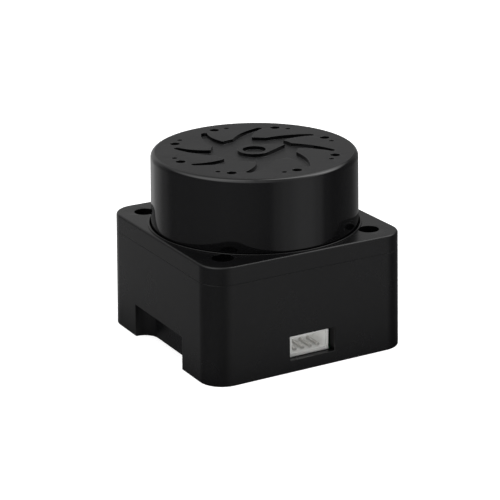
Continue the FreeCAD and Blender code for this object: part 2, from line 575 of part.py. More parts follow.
def head_cover():
    side_z, foot = TOTAL_H - HEAD_ROUND, 0.2
    mid = HEAD_ROUND * (1 - math.sqrt(0.5))
    line = [Vector(0, 0, TOTAL_H), Vector(HEAD_TOP_R - HEAD_ROUND, 0, TOTAL_H), Vector(HEAD_TOP_R, 0, side_z),
            Vector(HEAD_FOOT_R, 0, HEAD_FOOT_Z + foot), Vector(HEAD_FOOT_R - foot, 0, HEAD_FOOT_Z),
            Vector(HEAD_BORE_R, 0, HEAD_FOOT_Z), Vector(HEAD_BORE_R, 0, HEAD_CEILING_Z - 0.6),
            Vector(HEAD_BORE_R - 0.6, 0, HEAD_CEILING_Z), Vector(0, 0, HEAD_CEILING_Z)]
    bend = Vector(HEAD_TOP_R - mid, 0, TOTAL_H - mid)
    edges = [Part.LineSegment(a, b).toShape() for a, b in zip(line, line[1:] + line[:1])]
    edges[1] = Part.Arc(line[1], bend, line[2]).toShape()
    shell = Part.Face(Part.Wire(edges)).revolve(Vector(0, 0, 0), PLUS_Z, 360)
    hook = revolved([(HEAD_BORE_R + 0.1, 21.35), (HEAD_BORE_R, 21.35), (16.45, 21.8), (16.45, 21.95),
                     (HEAD_BORE_R + 0.1, 21.95)]).common(pie(20, 5, 21, 24))
    shell = shell.multiFuse([turned(hook, 60 * i + 45) for i in range(6)])
    tools = relief_tool()
    keep("head_cover", shell.cut(tools[0].multiFuse(tools[1:])).removeSplitter())


def turntable():
    plate = fused([cylinder(14.5, FRAME_Z0, FRAME_Z1), ring(14.5, 13.7, FRAME_Z0, FLANGE_Z1),
                   ring(FLANGE_R, 13.7, FLANGE_Z0, FLANGE_Z1)])
    posts = [cylinder(1.7, FRAME_Z1 - 0.5, FLANGE_Z1, x, y) for x, y in BOARD_SCREWS]
    posts += [cylinder(1.7, FRAME_Z1 - 0.5, FLANGE_Z1, x, y) for x, y in OPTIC_SCREWS]
    rib = block(5.6, 13.9, -0.4, 0.4, FRAME_Z1 - 0.2, FLANGE_Z1 - 0.3)
    ribs = [turned(rib, 30 + 60 * i) for i in range(6)]
    plate = plate.multiFuse(posts + ribs)
    tools = [cylinder(SHAFT_R, 20, 24), cylinder(4.9, FRAME_Z1, 24)]
    tools += [cylinder(0.85, 20, 24, x, y) for x, y in hub_places()]
    tools += [cylinder(0.7, FRAME_Z0 + 0.3, 24, x, y) for x, y in BOARD_SCREWS + OPTIC_SCREWS]
    tools += [turned(block(14.1, 18, -1.5, 1.5, 20, 24), SENSOR_ANGLE)]
    keep("turntable", plate.cut(tools[0].multiFuse(tools[1:])).removeSplitter())


def turning_board():
    board = cylinder(16.4, FLANGE_Z1, TURN_BOARD_Z1)
    tools = [cylinder(0.75, 22, 25, x, y) for x, y in BOARD_SCREWS + OPTIC_SCREWS]
    keep("head_board", board.cut(tools[0].multiFuse(tools[1:])))
    top = TURN_BOARD_Z1
    keep("board_screws", *[screw(x, y, top, 1.2, 0.7, 0.7, 2.3, 0.3) for x, y in BOARD_SCREWS])
    keep("signal_processor", chip(-4.6, 0, top, 6.0, 6.0, 0.9, 45))
    keep("power_converter", chip(-6.4, 8.6, top, 3.5, 3.5, 0.9), chip(-6.4, -8.6, top, 3.0, 3.0, 0.8))
    rows = [(SMALL, -1.6 + 1.4 * (i % 3), side * (7.2 + 1.2 * (i // 3)), 0)
            for i in range(6) for side in (1, -1)]
    rows += [(LARGE, *polar(13.6, a), a) for a in (108, 120, 132, 228, 240, 252)]
    keep("head_passives", *[passive(size, x, y, top, turn) for size, x, y, turn in rows])
    led = fused([cylinder(1.0, FRAME_Z1 + 0.3, FLANGE_Z1), block(-1.2, 1.2, -1.2, 1.2, 22.5, FLANGE_Z1)])
    keep("data_led", led)
    sensor = block(14.3, 16.72, -1.25, 1.25, 20.1, FLANGE_Z1).cut(block(15.1, 16.3, -2, 2, 20, 21.9))
    keep("angle_sensor", turned(sensor, SENSOR_ANGLE))
    arc = ring(15.9, 12.7, top, top + 4.2)
    weight = arc.common(turned(pie(20, 30, top, top + 5), 180))
    keep("balance_weight", weight.makeChamfer(0.3, edges_at(weight, top + 4.2, lambda e: True)))


def lens(radius, edge, bulge):
    """A plano-convex lens on +Z, flat side down."""
    sphere_r = (radius ** 2 + bulge ** 2) / (2 * bulge)
    dome = Part.makeSphere(sphere_r, Vector(0, 0, edge + bulge - sphere_r))
    return dome.common(cylinder(radius, 0, edge + bulge))


def optics():
    """Two lens barrels in one holder, looking along +X, with the emitter and receiver on a board behind."""
    x_board, x_back, x_mid = 2.6, 3.4, 9.4
    top = TURN_BOARD_Z1
    body = block(x_back, x_mid, -8.3, 8.3, top, 31.3)
    body = body.makeFillet(0.8, [e for e in body.Edges if abs(e.CenterOfMass.z - 31.3) < 1e-6
                                 and abs(e.Vertexes[0].X - e.Vertexes[1].X) > 1])
    ears = [fused([cylinder(1.9, top, top + 1.2, x, y),
                   block(x - 1.9, x + 1.9, min(y, y * 0.85), max(y, y * 0.85), top, top + 1.2)])
            for x, y in OPTIC_SCREWS]
    collars = [along_x(cylinder(BARREL_R + 0.05, 0, 1.2), x_mid, y, OPTIC_Z) for y in (-LENS_Y, LENS_Y)]
    body = body.multiFuse(ears + collars)
    bores = [along_x(Part.makeCone(2.2, 2.9, x_mid - x_back + 0.2), x_back - 0.1, y, OPTIC_Z)
             for y in (-LENS_Y, LENS_Y)]
    bores += [along_x(cylinder(3.2, 0, 6), x_mid - 1.6, y, OPTIC_Z) for y in (-LENS_Y, LENS_Y)]
    bores += [cylinder(0.75, top - 1, top + 2, x, y) for x, y in OPTIC_SCREWS]
    keep("optics_holder", body.cut(bores[0].multiFuse(bores[1:])).removeSplitter())
    keep("optics_screws", *[screw(x, y, top + 1.2, 1.2, 0.7, 0.7, 3.4, 0.3) for x, y in OPTIC_SCREWS])
    barrel = revolved([
        (2.7, 0), (3.2, 0), (3.2, 2.8), (BARREL_R - 0.1, 2.8), (BARREL_R - 0.1, 3.3), (BARREL_R, 3.4),
        (BARREL_R, 5.4), (BARREL_R - 0.2, 5.6), (LENS_R, 5.6), (LENS_R, 3.6), (2.7, 3.6)])
    barrel = barrel.cut(fused([block(-5, 5, -0.3, 0.3, 5.2, 6), block(-0.3, 0.3, -5, 5, 5.2, 6)]))
    glass = lens(LENS_R, 0.6, 1.0)
    x_lens = x_mid - 1.6
    for name, y in (("emitter", LENS_Y), ("receiver", -LENS_Y)):
        keep(name + "_barrel", along_x(barrel, x_lens, y, OPTIC_Z))
        keep(name + "_lens", along_x(glass, x_lens + 3.6, y, OPTIC_Z))
    board = block(x_board, x_back, -8.0, 8.0, top, 31.2)
    keep("sensor_board", board.makeFillet(0.6, [e for e in board.Edges if abs(e.CenterOfMass.z - 31.2) < 1e-6
                                                and abs(abs(e.CenterOfMass.y) - 8.0) < 1e-6]))
    diode = fused([block(0, 0.5, -1.5, 1.5, -1.2, 1.2), along_x(cylinder(0.7, 0, 0.9), 0, 0, 0)])
    diode.translate(Vector(x_back, LENS_Y, OPTIC_Z))
    keep("laser_diode", diode)
    sensor = block(0, 0.6, -1.4, 1.4, -1.1, 1.1)
    window = block(0.6, 0.9, -1.3, 1.3, -1.0, 1.0)
    for name, shape in (("light_sensor", sensor), ("band_filter", window)):
        shape.translate(Vector(x_back, -LENS_Y, OPTIC_Z))
        keep(name, shape)
    link = block(1.0, x_board, -2.6, 2.6, top, top + 1.4)
    keep("board_link", link.makeChamfer(0.2, edges_at(link, top + 1.4, lambda e: True)))


# ---------------------------------------------------------------- build and write
def main():
    for build in (lower_housing, upper_cover, bottom_plate, base_fasteners, main_board, socket,
                  bearing_tube, bearings, stator, rotor, power_link, angle_ring,
                  head_cover, turntable, turning_board, optics):
        build()
    os.makedirs(OUT, exist_ok=True)
    for name in os.listdir(OUT):
        if name.endswith(".step") and name[:-5] not in made:
            os.remove(os.path.join(OUT, name))
    for name, shape in sorted(made.items()):
        bad = [s for s in shape.Solids if not s.isValid() or s.Volume <= 0]
        print(f"{name:22s} solids {len(shape.Solids):3d}  volume {shape.Volume:9.2f}  {'BAD' if bad else ''}")
        shape.exportStep(os.path.join(OUT, name + ".step"))
    print(len(made), "nodes")


main()
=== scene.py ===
"""The look of a compact spinning lidar scanner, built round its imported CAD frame.

Metres in Blender; the mesh code below works in millimetres and scales once, when a piece is made.
"""
import json
import math

import bmesh
import bpy
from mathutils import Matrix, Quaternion, Vector
from mathutils.geometry import delaunay_2d_cdt


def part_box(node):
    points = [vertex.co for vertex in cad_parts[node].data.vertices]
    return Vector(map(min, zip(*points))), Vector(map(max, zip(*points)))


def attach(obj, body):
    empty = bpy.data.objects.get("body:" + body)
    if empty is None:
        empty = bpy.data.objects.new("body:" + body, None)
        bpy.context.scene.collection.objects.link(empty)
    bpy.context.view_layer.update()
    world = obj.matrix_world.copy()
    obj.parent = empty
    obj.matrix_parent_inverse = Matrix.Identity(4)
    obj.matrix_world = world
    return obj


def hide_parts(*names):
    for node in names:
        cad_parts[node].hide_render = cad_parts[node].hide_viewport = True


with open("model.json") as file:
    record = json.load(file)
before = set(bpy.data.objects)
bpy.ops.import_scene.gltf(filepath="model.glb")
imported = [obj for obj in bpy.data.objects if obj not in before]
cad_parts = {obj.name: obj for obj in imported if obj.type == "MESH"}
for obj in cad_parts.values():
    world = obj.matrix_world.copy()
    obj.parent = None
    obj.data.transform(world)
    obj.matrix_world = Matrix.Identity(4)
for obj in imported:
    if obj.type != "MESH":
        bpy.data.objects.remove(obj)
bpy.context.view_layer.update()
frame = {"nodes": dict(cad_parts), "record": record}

MM = 0.001


def span(node):
    """Lowest and highest corner of a CAD node, in millimetres."""
    low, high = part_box(node)
    return low / MM, high / MM


# ---------------------------------------------------------------- sizes, from the frame where it gives them
FOOT_HALF = 19.3
DRAFT = 0.014
CORNER_R = 4.3
TOP_ROUND = 0.4
SEAM_Z = span("lower_housing")[1].z
BASE_H = 20.7
TOTAL_H = span("head_cover")[1].z
SEAM_ROUND = 0.09
FOOT_ROUND = 0.12

BAY_HALF, BAY_R = 17.7, 1.9
POST_AT, POST_R, POST_TOP = 14.2, 3.6, 15.2
CORNERS = [(sx * POST_AT, sy * POST_AT) for sx in (-1, 1) for sy in (-1, 1)]
WEB_Z0, WEB_Z1 = 6.8, 8.0
TUBE_R = 4.0
INSERT_R, INSERT_DEPTH = 2.1, 4.4
SCREW_HOLE_R = 0.95
COUNTERBORE_R, COUNTERBORE_Z = 1.8, 16.8
COUNTERBORE_ROUND = 0.08
BOSS_R = 2.3
SKIRT_GAP, SKIRT_WALL, SKIRT_DEPTH, SKIRT_R = 0.1, 1.0, 1.2, 1.4

NOTCH_HALF, NOTCH_H, NOTCH_D, NOTCH_R, BACKING = 8.7, 5.9, 2.95, 2.8, 1.4
WINDOW_HALF, WINDOW_Z0, WINDOW_Z1 = 4.4, 2.15, 6.4
MOUTH_ROUND = 0.09      # round the edges of the notch and the window

WELL_R, WELL_Z, OPENING_R = 18.2, 19.3, 5.2
WELL_LIP_W, WELL_LIP_H, WELL_LIP_ROUND = 0.35, 0.2, 0.1
FLANGE_GROOVE, FLANGE_GROOVE_Z = (14.75, 16.7), 18.9
COIL_GROOVE, COIL_GROOVE_Z = (8.9, 13.5), 18.3

HEAD_TOP_R, HEAD_FOOT_R, HEAD_ROUND = 17.8, 18.0, 1.0
HEAD_FOOT_Z = span("head_cover")[0].z
HEAD_BORE_R, HEAD_CEILING_Z = 16.9, 31.8
HEAD_FOOT_ROUND, CEILING_CHAMFER, BORE_CHAMFER = 0.2, 0.6, 0.05
RELIEF_DEPTH, RELIEF_LIP, RELIEF_FILLET = 0.65, 0.05, 0.05
VANES, RELIEF_DISC_R, RELIEF_CORNER_R = 8, 7.4, 0.3
CHANNEL_RIGHT = [(-2.05, 6.3), (-2.75, 10.0), (-2.1, 13.1)]     # the channel across +Y, seen from above
CHANNEL_TIP = [(-2.1, 13.1), (-2.6, 13.5), (-3.2, 13.15)]
CHANNEL_LEFT = [(-3.2, 13.15), (-4.8, 9.3), (-5.2, 4.5)]
HUB_R, HUB_TIP, HUB_HOLE_R = 2.9, 6.4, 1.97
DIMPLE_R, DIMPLE_CIRCLE_R, DIMPLE_DEPTH, DIMPLE_LIP, DIMPLE_FILLET = 0.8, 14.2, 0.8, 0.08, 0.1
DOT_R, DOT_CIRCLE_R, DOT_DEPTH, DOT_LIP = 0.42, 14.3, 0.6, 0.06
DOT_LAG = 9.6           # degrees that each dot stands behind its dimple

PLATE_Z0, PLATE_Z1, PAD_Z, PLATE_GAP = 0.2, 1.0, 1.2, 0.1
PLATE_ROUND, PANEL_ROUND = 0.06, 0.05
PANEL_HALF, PANEL_R, PANEL_DEPTH = 8.0, 1.5, 0.15
SLOT_AT, SLOT_PITCH, SLOT_HALF_WIDTH, SLOT_HALF_LENGTH, SLOT_DEPTH = 10.5, 1.4, 0.3, 5.0, 0.3
PILLARS = [(sx * 8.6, sy * 15.0) for sx in (-1, 1) for sy in (-1, 1)]
SINK_R, SINK_Z, PLATE_HOLE_R, PAD_R = 1.5, 0.9, 0.85, 1.6

SOCKET_WALL, SOCKET_BACK, SOCKET_ROUND = 0.5, 1.4, 0.1
PIN_COUNT, PIN_PITCH, PIN_HALF, PIN_ROUND = 4, 1.5, 0.25, 0.08
PIN_FOOT, PIN_BEND = 0.3, (1.6, 1.1)        # height of the foot; the upright's faces, from the pin's back end

SEGMENTS = 256          # round the head and the well
ARC_STEPS = 14          # round each corner of the base
LIP_STEPS = 3           # across each small edge round
BEVEL_ANGLE, SHARP_ANGLE = 35, 38       # degrees between faces, for edges to round and edges to keep crisp


# ---------------------------------------------------------------- outlines, as lists of (x, y)
def polar(radius, degrees):
    angle = math.radians(degrees)
    return radius * math.cos(angle), radius * math.sin(angle)


def arc(centre, radius, start, end, steps):
    """Points along an arc, both ends included; angles in degrees."""
    return [(centre[0] + radius * math.cos(math.radians(start + (end - start) * i / steps)),
             centre[1] + radius * math.sin(math.radians(start + (end - start) * i / steps)))
            for i in range(steps + 1)]


def circle(radius, steps, centre=(0.0, 0.0)):
    return arc(centre, radius, 0, 360, steps)[:-1]


def heading(x, y):
    """Direction of a vector, in degrees from +X."""
    return math.degrees(math.atan2(y, x))


def quarter_round(steps=LIP_STEPS):
    """(1 - sin, 1 - cos) pairs at even steps over a quarter turn, for rounding an edge."""
    angles = [math.pi / 2 * i / steps for i in range(steps + 1)]
    return [(1 - math.sin(t), 1 - math.cos(t)) for t in angles]


def quarter_turned(points, quarters):
    for _ in range(quarters):
        points = [(-y, x) for x, y in points]
    return points


def rounded_square(half, radius, steps=ARC_STEPS, stop=None):
    """A square with round corners; a stop adds a point each side of the middle of every side."""
    flat = half - radius
    corner = arc((flat, flat), radius, 0, 90, steps)
    if stop:
        corner += [(stop, half), (-stop, half)]
    return [p for quarter in range(4) for p in quarter_turned(corner, quarter)]


def base_outline(half, radius):
    """The housing's outline, counter-clockwise from -Y, with points beside the window and the notch."""
    flat = half - radius
    corner = arc((flat, flat), radius, 0, 90, ARC_STEPS)
    points = [(-WINDOW_HALF, -half), (WINDOW_HALF, -half)]
    for quarter in (3, 0, 1):
        points += quarter_turned(corner, quarter)
    points += [(-half, NOTCH_HALF), (-half, -NOTCH_HALF)]
    return points + quarter_turned(corner, 2)


def notch_path(face):
    """Plan of the notch's wall, from its +Y edge on the face round to its -Y edge."""
    centre_x = -FOOT_HALF + NOTCH_D - NOTCH_R
    near = NOTCH_HALF - NOTCH_R
    bend = arc((centre_x, near), NOTCH_R, 90, 0, ARC_STEPS)
    return [(-face, NOTCH_HALF)] + bend + [(x, -y) for x, y in reversed(bend)] + [(-face, -NOTCH_HALF)]


def bay_outline(gap, beside_notch, stops=()):
    """The hollow's outline, counter-clockwise from -Y: a square less its four posts, and less the notch."""
    half, radius = BAY_HALF - gap, POST_R + gap
    reach = math.sqrt(radius ** 2 - (half - POST_AT) ** 2)
    lean = heading(half - POST_AT, reach)
    post = arc((POST_AT, -POST_AT), radius, 270 - lean, lean, 3 * ARC_STEPS)
    points = [(x, -half) for x in stops]
    for quarter in range(3):
        points += quarter_turned(post, quarter)
    if beside_notch:
        centre_x = -FOOT_HALF + NOTCH_D - NOTCH_R
        round_r, near = NOTCH_R + BACKING + gap, NOTCH_HALF - NOTCH_R
        start = math.degrees(math.acos((-half - centre_x) / round_r))
        bend = arc((centre_x, near), round_r, start, 0, ARC_STEPS)
        points += bend + [(x, -y) for x, y in reversed(bend)]
    return points + quarter_turned(post, 3)


def stadium(x, y, half_width, half_length, steps=6):
    upper = arc((x, y + half_length - half_width), half_width, 0, 180, steps)
    lower = arc((x, y - half_length + half_width), half_width, 180, 360, steps)
    return upper + lower


def offset(points, distance):
    """A closed counter-clockwise outline moved outward, with mitred corners."""
    moved = []
    count = len(points)
    for i in range(count):
        before, here, after = (Vector(points[j % count]) for j in (i - 1, i, i + 1))
        into, out = (here - before).normalized(), (after - here).normalized()
        first, second = Vector((into.y, -into.x)), Vector((out.y, -out.x))
        push = (first + second) * (distance / max(0.3, 1 + first.dot(second)))
        moved.append((here.x + push.x, here.y + push.y))
    return moved


def three_point_arc(a, b, c, steps):
    """Points along the arc through three points."""
    (ax, ay), (bx, by), (cx, cy) = a, b, c
    d = 2 * (ax * (by - cy) + bx * (cy - ay) + cx * (ay - by))
    a2, b2, c2 = ax * ax + ay * ay, bx * bx + by * by, cx * cx + cy * cy
    ux = (a2 * (by - cy) + b2 * (cy - ay) + c2 * (ay - by)) / d
    uy = (a2 * (cx - bx) + b2 * (ax - cx) + c2 * (bx - ax)) / d
    start, middle, end = heading(ax - ux, ay - uy), heading(bx - ux, by - uy), heading(cx - ux, cy - uy)
    while not min(start, end) <= middle <= max(start, end):
        if middle < min(start, end):
            middle += 360
        elif end < start:
            end += 360
        else:
            start += 360
    return arc((ux, uy), math.hypot(ax - ux, ay - uy), start, end, steps)


def beyond(points, radius):
    """The part of a path that lies outside a circle, ending exactly on it."""
    kept = [p for p in points if math.hypot(*p) > radius]
    inside_first = math.hypot(*points[0]) < radius
    index = points.index(kept[0]) - 1 if inside_first else points.index(kept[-1]) + 1
    other = kept[0] if inside_first else kept[-1]
    low, high = Vector(points[index]), Vector(other)
    for _ in range(30):
        middle = (low + high) / 2
        low, high = (middle, high) if middle.length < radius else (low, middle)
    edge = (high.x, high.y)
    return [edge] + kept if inside_first else kept + [edge]


def softened(points, corner_indices, radius, steps=5):
    """Replaces the named corners of a dense closed outline by arcs."""
    count, nearby, spare = len(points), 6, 1.05
    cut = {}
    for i in corner_indices:
        here = Vector(points[i])
        before, after = Vector(points[i - 1]), Vector(points[(i + 1) % count])
        into, out = (here - before).normalized(), (after - here).normalized()
        turn = into.angle_signed(out)
        back = radius * math.tan(abs(turn) / 2)
        a, b = here - into * back, here + out * back
        side = Vector((into.y, -into.x)) * (1 if turn > 0 else -1)
        centre = a + side * radius
        start = heading(a.x - centre.x, a.y - centre.y)
        sweep = -math.degrees(turn)
        cut[i] = (back, arc(centre, radius, start, start + sweep, steps))
    result = []
    for i, point in enumerate(points):
        if i in cut:
            result += cut[i][1]
            continue
        near = [c for c in cut if min(abs(i - c), count - abs(i - c)) <= nearby]
        if all((Vector(point) - Vector(points[c])).length > cut[c][0] * spare for c in near):
            result.append(point)
    return result


def pocket_outline():
    """The relief's sunk area, counter-clockwise: a disc with curved channels that taper outward."""
    right = three_point_arc(*CHANNEL_RIGHT, 26)
    tip = three_point_arc(*CHANNEL_TIP, 8)
    left = three_point_arc(*CHANNEL_LEFT, 30)
    channel = beyond(right, RELIEF_DISC_R) + tip[1:-1] + beyond(left, RELIEF_DISC_R)
    first, last = channel[0], channel[-1]
    petal = arc((0, 0), RELIEF_DISC_R, heading(*last), heading(*first) + 360 / VANES, 10)[1:-1]
    points, corners = [], []
    for i in range(VANES):
        turn = math.radians(360 / VANES * i)
        cos, sin = math.cos(turn), math.sin(turn)
        corners += [len(points), len(points) + len(channel) - 1]
        points += [(x * cos - y * sin, x * sin + y * cos) for x, y in channel + petal]
    return softened(points, corners, RELIEF_CORNER_R)


def drop_outline():
    """The raised hub: a disc drawn out to a softened point along +X."""
    angle = math.degrees(math.acos(HUB_R / HUB_TIP))
    body = arc((0, 0), HUB_R, angle, 360 - angle, 72)
    start, end = Vector(body[-1]), Vector(body[0])
    tip = Vector((HUB_TIP, 0))
    lower = [tuple(start.lerp(tip, i / 12)) for i in range(1, 12)]
    upper = [tuple(tip.lerp(end, i / 12)) for i in range(1, 12)]
    points = body + lower + [tuple(tip)] + upper
    return softened(points, [len(body) + len(lower)], RELIEF_CORNER_R)


# ---------------------------------------------------------------- mesh building
class Shell:
    """Gathers one piece's points and faces, in millimetres, and turns them into an object."""

    def __init__(self):
        self.points, self.faces = [], []

    def loop(self, outline, z):
        return self.path([(x, y, z) for x, y in outline])

    def path(self, points):
        start = len(self.points)
        self.points += [Vector(p) for p in points]
        return list(range(start, len(self.points)))

    def bridge(self, low, high, skip=(), closed=True):
        count = len(low)
        for i in range(count if closed else count - 1):
            if i not in skip:
                j = (i + 1) % count
                self.faces.append((low[i], low[j], high[j], high[i]))

    def stack(self, outlines):
        """Joins (outline, z) pairs into a wall; returns its first and last loop."""
        loops = [self.loop(outline, z) for outline, z in outlines]
        for low, high in zip(loops, loops[1:]):
            self.bridge(low, high)
        return loops[0], loops[-1]

    def turned(self, profile, steps=SEGMENTS, centre=(0.0, 0.0)):
        """A wall of revolution from (radius, z) pairs; returns its first and last loop."""
        return self.stack([(circle(radius, steps, centre), z) for radius, z in profile])

    def fill(self, *loops):
        """Triangles over the flat area between loops of one height; even and odd crossings tell the area."""
        order = [index for loop in loops for index in loop]
        flat = [self.points[index].to_2d() for index in order]
        edges, start = [], 0
        for loop in loops:
            count = len(loop)
            edges += [(start + i, start + (i + 1) % count) for i in range(count)]
            start += count
        found, _, triangles, origins, _, _ = delaunay_2d_cdt(flat, edges, [], 0, 1e-7)
        sides = [(flat[a], flat[b]) for a, b in edges]
        for triangle in triangles:
            middle = sum((found[i] for i in triangle), Vector((0, 0))) / 3
            crossings = 0
            for a, b in sides:
                if (a.y > middle.y) != (b.y > middle.y):
                    if middle.x < a.x + (middle.y - a.y) / (b.y - a.y) * (b.x - a.x):
                        crossings += 1
            if crossings % 2:
                self.faces.append(tuple(order[origins[i][0]] for i in triangle))

    def sunk(self, outline, top, depth, lip, fillet, outward=1.0):
        """The wall of a pocket, or with outward -1 of a raised shape, rounded at both ends: rim and floor."""
        levels = [(lip * s, top - lip * c) for s, c in quarter_round()]
        levels += [(-fillet * c, top - depth + fillet * s) for s, c in quarter_round()]
        return self.stack([(offset(outline, outward * push), z) for push, z in levels])

    def mesh(self, name):
        """A closed mesh in metres."""
        same = 1e-4 * MM
        mesh = bpy.data.meshes.new(name)
        mesh.from_pydata([p * MM for p in self.points], [], self.faces)
        work = bmesh.new()
        work.from_mesh(mesh)
        bmesh.ops.remove_doubles(work, verts=work.verts, dist=same)
        bmesh.ops.dissolve_degenerate(work, edges=work.edges, dist=same)
        bmesh.ops.delete(work, geom=[edge for edge in work.edges if not edge.link_faces], context="EDGES")
        bmesh.ops.recalc_face_normals(work, faces=work.faces)
        work.to_mesh(mesh)
        work.free()
        return mesh

    def build(self, name, body, slot, replaces=(), bevel=None, cutters=()):
        """Makes the piece; bevel gives the width of the edges to round, and a test that picks them."""
        mesh = self.mesh(name)
        if cutters:
            mesh = carved(mesh, [cutter.mesh("cutter") for cutter in cutters])
        if bevel:
            work = bmesh.new()
            work.from_mesh(mesh)
            layer = work.edges.layers.float.new("bevel_weight_edge")
            for edge in work.edges:
                if edge.is_manifold and edge.calc_face_angle() > math.radians(BEVEL_ANGLE):
                    if bevel["where"](*(v.co / MM for v in edge.verts)):
                        edge[layer] = 1.0
            work.to_mesh(mesh)
            work.free()
        mesh.shade_smooth()
        mesh.set_sharp_from_angle(angle=math.radians(SHARP_ANGLE))
        piece = bpy.data.objects.new(name, mesh)
        bpy.context.scene.collection.objects.link(piece)
        if bevel:
            rounder = piece.modifiers.new("rounded_edges", "BEVEL")
            rounder.limit_method = "WEIGHT"
            rounder.width = bevel["width"] * MM
            rounder.segments = LIP_STEPS
            rounder.use_clamp_overlap = False
        even = piece.modifiers.new("even_faces", "WEIGHTED_NORMAL")
        even.keep_sharp = True
        mesh.materials.append(LOOKS[slot])
        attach(piece, body)
        if replaces:
            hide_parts(*replaces)


def carved(mesh, tools):
    """The mesh with each tool's shape taken out of it."""
    scene = bpy.context.scene.collection
    target = bpy.data.objects.new(mesh.name, mesh)
    scene.objects.link(target)
    knives = []
    for tool in tools:
        knife = bpy.data.objects.new("knife", tool)
        scene.objects.link(knife)
        cut = target.modifiers.new("cut", "BOOLEAN")
        cut.operation, cut.solver, cut.object = "DIFFERENCE", "EXACT", knife
        knives.append(knife)
    bpy.context.view_layer.update()
    result = bpy.data.meshes.new_from_object(target.evaluated_get(bpy.context.evaluated_depsgraph_get()))
    for thing in [target] + knives:
        bpy.data.objects.remove(thing)
    return result


def blocks(xs, ys, zs, solid, into=None):
    """Faces of a shape made of cells between the given planes; solid(x, y, z) says which cells are filled."""
    shell = into or Shell()
    index = {}

    def corner(i, j, k):
        key = (i, j, k)
        if key not in index:
            index[key] = len(shell.points)
            shell.points.append(Vector((xs[i], ys[j], zs[k])))
        return index[key]

    counts = (len(xs) - 1, len(ys) - 1, len(zs) - 1)

    def filled(i, j, k):
        if not (0 <= i < counts[0] and 0 <= j < counts[1] and 0 <= k < counts[2]):
            return False
        return solid((xs[i] + xs[i + 1]) / 2, (ys[j] + ys[j + 1]) / 2, (zs[k] + zs[k + 1]) / 2)

    for i in range(counts[0]):
        for j in range(counts[1]):
            for k in range(counts[2]):
                if not filled(i, j, k):
                    continue
                for axis in range(3):
                    for side in (0, 1):
                        step = [0, 0, 0]
                        step[axis] = 1 if side else -1
                        if filled(i + step[0], j + step[1], k + step[2]):
                            continue
                        base = [i, j, k]
                        base[axis] += side
                        u, v = [a for a in range(3) if a != axis]
                        quad = []
                        for du, dv in ((0, 0), (1, 0), (1, 1), (0, 1)):
                            spot = list(base)
                            spot[u] += du
                            spot[v] += dv
                            quad.append(corner(*spot))
                        shell.faces.append(tuple(quad))
    return shell


# ---------------------------------------------------------------- materials
class Nodes:
    """A node tree, with short ways to make the nodes that repeat."""

    def __init__(self, tree):
        self.tree = tree

    def add(self, kind, **values):
        node = self.tree.nodes.new(kind)
        for key, value in values.items():
            setattr(node, key, value)
        return node

    def link(self, source, target):
        self.tree.links.new(source, target)

    def fill(self, sockets, values):
        """Gives each input its number, or links it to its source."""
        for socket, value in zip(sockets, values):
            if isinstance(value, (int, float)):
                socket.default_value = value
            elif isinstance(value, tuple):
                socket.default_value = (*value, 1)
            else:
                self.link(value, socket)

    def math(self, operation, a, b=0.0):
        node = self.add("ShaderNodeMath", operation=operation)
        self.fill(node.inputs, (a, b))
        return node.outputs[0]

    def spread(self, source, low, high, from_low=0.3, from_high=0.7, kind="LINEAR"):
        node = self.add("ShaderNodeMapRange", interpolation_type=kind)
        self.fill(node.inputs, (source, from_low, from_high, low, high))
        return node.outputs["Result"]

    def between(self, amount, first, second):
        """A number between two."""
        node = self.add("ShaderNodeMix")
        self.fill((node.inputs["Factor"], node.inputs[2], node.inputs[3]), (amount, first, second))
        return node.outputs[0]

    def mix(self, amount, first, second):
        """A colour between two, given as colours or sockets."""
        node = self.add("ShaderNodeMix", data_type="RGBA")
        self.fill((node.inputs["Factor"], node.inputs[6], node.inputs[7]), (amount, first, second))
        return node.outputs[2]

    def split(self, vector):
        node = self.add("ShaderNodeSeparateXYZ")
        self.link(vector, node.inputs[0])
        return node.outputs


class Look(Nodes):
    """A material."""

    def __init__(self, name, colour, rough, metallic=0.0, level=0.5):
        self.material = bpy.data.materials.new(name)
        self.material.use_nodes = True
        super().__init__(self.material.node_tree)
        self.shader = self.tree.nodes["Principled BSDF"]
        self.shader.inputs["Base Color"].default_value = (*colour, 1)
        self.shader.inputs["Roughness"].default_value = rough
        self.shader.inputs["Metallic"].default_value = metallic
        self.shader.inputs["Specular IOR Level"].default_value = level
        self.where = self.add("ShaderNodeTexCoord").outputs["Object"]

    def feed(self, **sources):
        """Links sources to the shader's inputs; an underscore stands for a space."""
        for name, source in sources.items():
            self.link(source, self.shader.inputs[name.replace("_", " ")])

    def noise(self, scale, detail=3.0, stretch=(1, 1, 1)):
        """Noise over the piece; scale is in features per metre."""
        place = self.add("ShaderNodeMapping")
        place.inputs["Scale"].default_value = stretch
        self.link(self.where, place.inputs["Vector"])
        node = self.add("ShaderNodeTexNoise")
        node.inputs["Scale"].default_value = scale
        node.inputs["Detail"].default_value = detail
        self.link(place.outputs["Vector"], node.inputs["Vector"])
        return node.outputs["Fac"]

    def bump(self, height, strength, distance):
        node = self.add("ShaderNodeBump")
        node.inputs["Strength"].default_value = strength
        node.inputs["Distance"].default_value = distance
        self.link(height, node.inputs["Height"])
        self.link(node.outputs["Normal"], self.shader.inputs["Normal"])

    def axis(self, name):
        return self.split(self.where)[name]

    def end_in(self, amount, first, second):
        """Ends the material in a blend of two shaders."""
        blend = self.add("ShaderNodeMixShader")
        self.fill(blend.inputs, (amount, first, second))
        self.link(blend.outputs[0], self.tree.nodes["Material Output"].inputs["Surface"])


